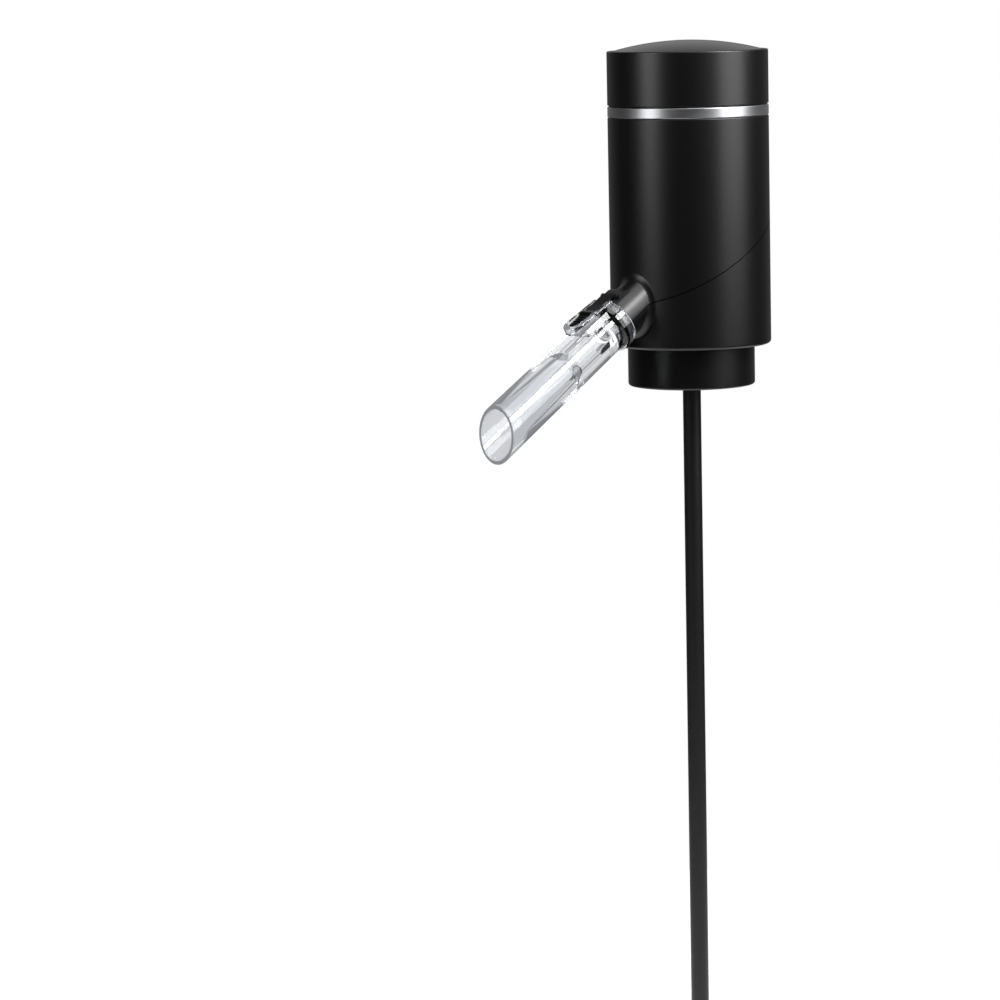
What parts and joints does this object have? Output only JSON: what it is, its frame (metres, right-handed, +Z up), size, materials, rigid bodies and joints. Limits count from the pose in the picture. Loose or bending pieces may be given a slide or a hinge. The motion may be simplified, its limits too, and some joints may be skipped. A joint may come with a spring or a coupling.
{
  "type": "electric wine aerator",
  "caption": "Battery powered wine aerator that plugs into a bottle: round black body with a push-button cap, silver trim ring, clear sloping spout with a latch, and a long dip tube.",
  "frame": {"origin": "on the body's axis, where the bottle's lip seats under the stopper's flange", "axes": "+Z up along the body's axis, the spout points towards -Y"},
  "size_m": [0.053, 0.115, 0.3749],
  "materials": {
    "shell_plastic": "satin moulded black",
    "button_plastic": "semi-gloss moulded black",
    "trim_metal": "satin turned silver",
    "clear_plastic": "clear moulded plastic",
    "latch_plastic": "matt ribbed black",
    "silicone": "translucent matt",
    "seal_rubber": "smooth black",
    "tube_plastic": "smooth black",
    "inner_plastic": "moulded dark grey",
    "natural_plastic": "moulded natural white",
    "screw_steel": "bright",
    "contact_brass": "bright stamped",
    "magnet": "dark grey",
    "cell_jacket": "plain grey jacket",
    "lead_jacket": "smooth red",
    "board": "green lacquer"
  },
  "bodies": {
    "body": {"lower_shell": "shell_plastic", "upper_shell": "shell_plastic", "trim_ring": "trim_metal", "neck_collar": "shell_plastic", "stopper": "silicone", "dip_tube": "tube_plastic", "riser_seal": "seal_rubber", "check_valve": "silicone", "flow_manifold": "clear_plastic", "air_hose": "silicone", "shell_screws": "screw_steel", "spout": "clear_plastic", "spout_seal": "seal_rubber", "battery_holder": "inner_plastic", "batteries": "cell_jacket", "battery_springs": "screw_steel", "power_leads": "lead_jacket", "pump_cover": "inner_plastic", "valve_sheet": "seal_rubber", "valve_plate": "natural_plastic", "diaphragm": "seal_rubber", "pump_case": "inner_plastic", "pump_screws": "screw_steel", "motor_can": "screw_steel", "motor_magnets": "magnet", "motor_end_cap": "natural_plastic", "motor_terminals": "contact_brass", "motor_screws": "screw_steel", "circuit_board": "board", "board_screws": "screw_steel", "switch_body": "inner_plastic"},
    "latch": {"spout_latch": "latch_plastic"},
    "cap": {"top_cap": "shell_plastic", "contact_carrier": "inner_plastic", "cap_contacts": "contact_brass", "button_spring": "screw_steel"},
    "button": {"top_button": "button_plastic", "stem_clip": "screw_steel"},
    "plunger": {"switch_plunger": "lead_jacket"},
    "rotor": {"motor_shaft": "screw_steel", "armature": "magnet", "crank": "natural_plastic", "crank_pin": "screw_steel"},
    "wobbler": {"wobble_plate": "natural_plastic"}
  },
  "joints": [
    {"name": "cap_twist", "type": "hinge", "parent": "body", "child": "cap", "pos_m": [0, 0, 0.0786], "axis": [0, 0, 1], "range_deg": [0, 30]},
    {"name": "button_press", "type": "slide", "parent": "cap", "child": "button", "axis": [0, 0, -1], "range_m": [0, 0.0015], "stiffness_N_per_m": 400, "springref_m": -0.0004, "deforming": ["button_spring"]},
    {"name": "switch_press", "type": "slide", "parent": "body", "child": "plunger", "axis": [0, 0, -1], "range_m": [0, 0.0015], "stiffness_N_per_m": 50, "springref_m": -0.00001},
    {"name": "latch_press", "type": "hinge", "parent": "body", "child": "latch", "pos_m": [0, -0.0478, 0.01358], "axis": [1, 0, 0], "range_deg": [0, 5], "stiffness_Nm_per_rad": 0.1},
    {"name": "motor_spin", "type": "hinge", "parent": "body", "child": "rotor", "pos_m": [0, 0, 0.0573], "axis": [0, 0, 1], "continuous": true},
    {"name": "wobble_turn", "type": "hinge", "parent": "rotor", "child": "wobbler", "pos_m": [0, 0, 0.0472], "axis": [0, 0.0698, 0.9976], "continuous": true}
  ],
  "couplings": [
    {"joint": "switch_press", "follows": "button_press", "ratio": 1},
    {"joint": "wobble_turn", "follows": "motor_spin", "ratio": -1}
  ]
}
